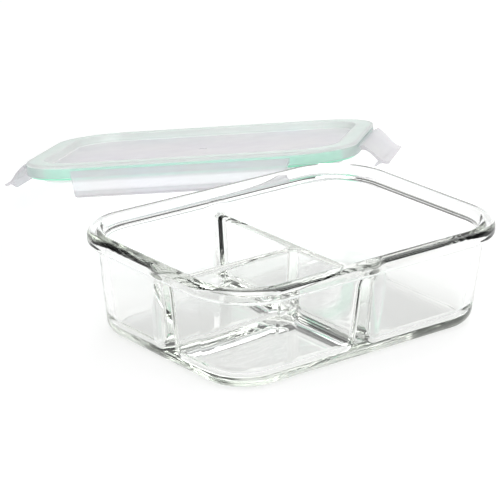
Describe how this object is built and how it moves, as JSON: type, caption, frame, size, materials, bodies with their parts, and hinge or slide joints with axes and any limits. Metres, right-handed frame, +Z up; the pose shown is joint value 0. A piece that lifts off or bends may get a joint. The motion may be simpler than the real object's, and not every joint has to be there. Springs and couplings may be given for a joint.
{
  "type": "bento lunch box",
  "caption": "Rectangular glass lunch box with a T-shaped divider in its tray, and a clip-on plastic lid with a seal ring and hinged locking flaps, laid aside.",
  "frame": {"origin": "middle of the glass tray's flat underside", "axes": "+X along the tray's long side, away from the side divider; +Z up; the lid lies on the +Y side"},
  "size_m": [0.3075, 0.3863, 0.0678],
  "materials": {
    "glass": "gloss",
    "lid_plastic": "satin",
    "silicone": "satin"
  },
  "bodies": {
    "tray": {"glass_tray": "glass"},
    "lid": {"lid_panel": "lid_plastic", "seal_ring": "silicone", "hinge_web_right": "lid_plastic", "hinge_web_back": "lid_plastic", "hinge_web_left": "lid_plastic", "hinge_web_front": "lid_plastic"},
    "flap_right": {"flap_right": "lid_plastic"},
    "flap_back": {"flap_back": "lid_plastic"},
    "flap_left": {"flap_left": "lid_plastic"},
    "flap_front": {"flap_front": "lid_plastic"}
  },
  "joints": [
    {"name": "lid_lift", "type": "slide", "parent": "tray", "child": "lid", "axis": [0, 0, 1], "range_m": [0, 0.12]},
    {"name": "flap_right_hinge", "type": "hinge", "parent": "lid", "child": "flap_right", "pos_m": [0.15871, 0.11284, 0.05457], "axis": [-0.7425, -0.65, 0.1616], "range_deg": [-48, 102], "stiffness_Nm_per_rad": 0.03},
    {"name": "flap_back_hinge", "type": "hinge", "parent": "lid", "child": "flap_back", "pos_m": [0.14559, 0.24496, 0.0282], "axis": [0.6687, -0.7333, 0.1228], "range_deg": [-25, 125], "stiffness_Nm_per_rad": 0.03},
    {"name": "flap_left_hinge", "type": "hinge", "parent": "lid", "child": "flap_left", "pos_m": [0.01307, 0.27255, 0.02782], "axis": [0.7425, 0.65, -0.1616], "range_deg": [-48, 102], "stiffness_Nm_per_rad": 0.03},
    {"name": "flap_front_hinge", "type": "hinge", "parent": "lid", "child": "flap_front", "pos_m": [0.02619, 0.14043, 0.05419], "axis": [-0.6687, 0.7333, -0.1228], "range_deg": [-42, 108], "stiffness_Nm_per_rad": 0.03}
  ]
}
